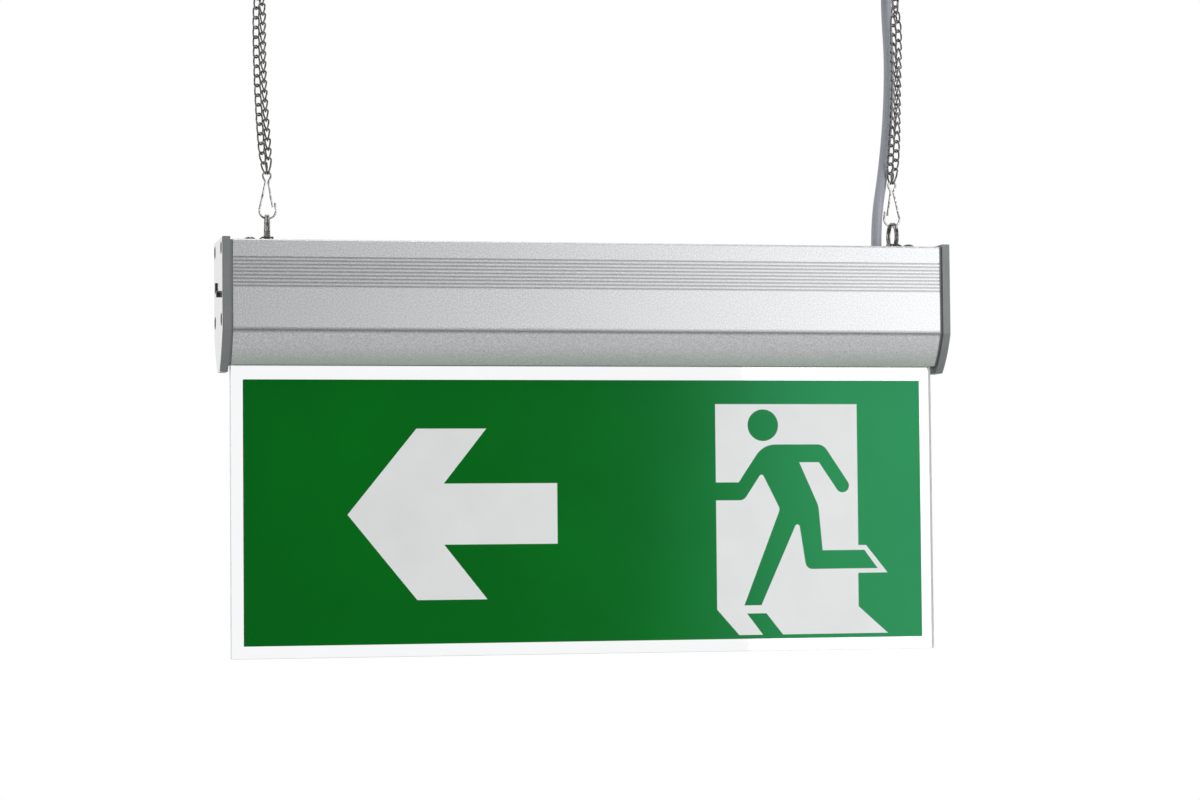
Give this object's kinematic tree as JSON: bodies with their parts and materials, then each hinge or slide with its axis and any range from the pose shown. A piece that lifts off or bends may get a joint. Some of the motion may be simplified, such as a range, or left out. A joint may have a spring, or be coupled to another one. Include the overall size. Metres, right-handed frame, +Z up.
{
  "type": "emergency exit light",
  "caption": "Edge-lit exit sign: slim aluminium housing with grey end caps above a clear panel with a green pictogram film, hung on doubled chains with snap hooks.",
  "frame": {"origin": "on the ceiling plane, midway between the two ceiling hooks", "axes": "+Z up; +X to the right seen from the front of the lamp, which faces -Y"},
  "size_m": [0.3616, 0.047, 0.3531],
  "materials": {
    "extrusion": "satin anodised",
    "cap_grey": "fine texture",
    "clear_acrylic": "clear, polished edges",
    "legend_green": "printed film with white figures",
    "bright_wire": "bright nickel plate",
    "strap_steel": "zinc plated",
    "screw_steel": "bright",
    "sheet_steel": "galvanised",
    "white_plastic": "satin",
    "cable_sheath": "smooth pale grey sheath",
    "grommet_rubber": "matt",
    "gasket_rubber": "matt",
    "board_green": "solder resist",
    "board_white": "white solder resist",
    "led_body": "moulded with phosphor",
    "core_steel": "lacquered laminations",
    "can_aluminium": "sleeved can",
    "cell_wrap": "shrink wrap",
    "holder_black": "moulded",
    "terminal_plastic": "moulded",
    "button_black": "moulded",
    "lens_smoke": "tinted light pipe"
  },
  "bodies": {
    "ceiling": {"ceiling_hook_left": "bright_wire", "ceiling_hook_right": "bright_wire", "ceiling_outlet": "white_plastic"},
    "left_shackle": {"shackle_ring_left": "bright_wire"},
    "left_hanger": {"chain_left_near_strand": "bright_wire", "chain_left_far_strand": "bright_wire", "snap_hook_left": "bright_wire"},
    "left_ring": {"split_ring_left": "bright_wire"},
    "right_shackle": {"shackle_ring_right": "bright_wire"},
    "right_hanger": {"chain_right_near_strand": "bright_wire", "chain_right_far_strand": "bright_wire", "snap_hook_right": "bright_wire", "supply_cable": "cable_sheath"},
    "right_ring": {"split_ring_right": "bright_wire"},
    "test_button": {"test_button": "button_black"},
    "lamp": {"housing_extrusion": "extrusion", "end_cap_left": "cap_grey", "end_cap_right": "cap_grey", "acrylic_panel": "clear_acrylic", "legend_film_front": "legend_green", "legend_film_rear": "legend_green", "panel_pins": "screw_steel", "panel_gasket_front": "gasket_rubber", "panel_gasket_rear": "gasket_rubber", "led_board": "board_white", "leds": "led_body", "gear_tray": "sheet_steel", "tray_screws": "screw_steel", "charger_board": "board_green", "board_spacers": "white_plastic", "transformer": "core_steel", "capacitors": "can_aluminium", "battery_holder": "holder_black", "battery_cells": "cell_wrap", "terminal_block": "terminal_plastic", "cable_grommet": "grommet_rubber", "cable_tail": "cable_sheath", "test_switch": "holder_black", "button_board": "board_green", "indicator_lens": "lens_smoke", "end_cap_screws": "screw_steel", "strap_screws": "screw_steel", "eye_strap_left": "strap_steel", "eye_strap_right": "strap_steel"}
  },
  "joints": [
    {"name": "swing_left", "type": "hinge", "parent": "ceiling", "child": "left_shackle", "pos_m": [-0.1595, 0, -0.02], "axis": [1, 0, 0], "range_deg": [-15, 15]},
    {"name": "swing_right", "type": "hinge", "parent": "ceiling", "child": "right_shackle", "pos_m": [0.1595, 0, -0.02], "axis": [1, 0, 0], "range_deg": [-15, 15]},
    {"name": "sway_left", "type": "hinge", "parent": "left_shackle", "child": "left_hanger", "pos_m": [-0.1595, 0, -0.0289], "axis": [0, 1, 0], "range_deg": [-12, 12]},
    {"name": "sway_right", "type": "hinge", "parent": "right_shackle", "child": "right_hanger", "pos_m": [0.1595, 0, -0.0289], "axis": [0, 1, 0], "range_deg": [-12, 12], "deforming": ["supply_cable"]},
    {"name": "ring_left", "type": "hinge", "parent": "left_hanger", "child": "left_ring", "pos_m": [-0.1565, 0, -0.14147], "axis": [0, 1, 0], "range_deg": [-12.3, 12.3]},
    {"name": "ring_right", "type": "hinge", "parent": "right_hanger", "child": "right_ring", "pos_m": [0.1565, 0, -0.14147], "axis": [0, 1, 0], "range_deg": [-12.3, 12.3]},
    {"name": "lamp_tilt", "type": "hinge", "parent": "left_ring", "child": "lamp", "pos_m": [-0.1565, 0, -0.14742], "axis": [1, 0, 0], "range_deg": [-20, 20]},
    {"name": "button_press", "type": "slide", "parent": "lamp", "child": "test_button", "axis": [1, 0, 0], "range_m": [0, 0.001], "stiffness_N_per_m": 400, "springref_m": -0.001}
  ],
  "couplings": [
    {"joint": "swing_right", "follows": "swing_left", "ratio": 1},
    {"joint": "sway_right", "follows": "sway_left", "ratio": 1},
    {"joint": "ring_left", "follows": "sway_left", "ratio": -1.0192},
    {"joint": "ring_right", "follows": "sway_left", "ratio": -1.0192}
  ]
}
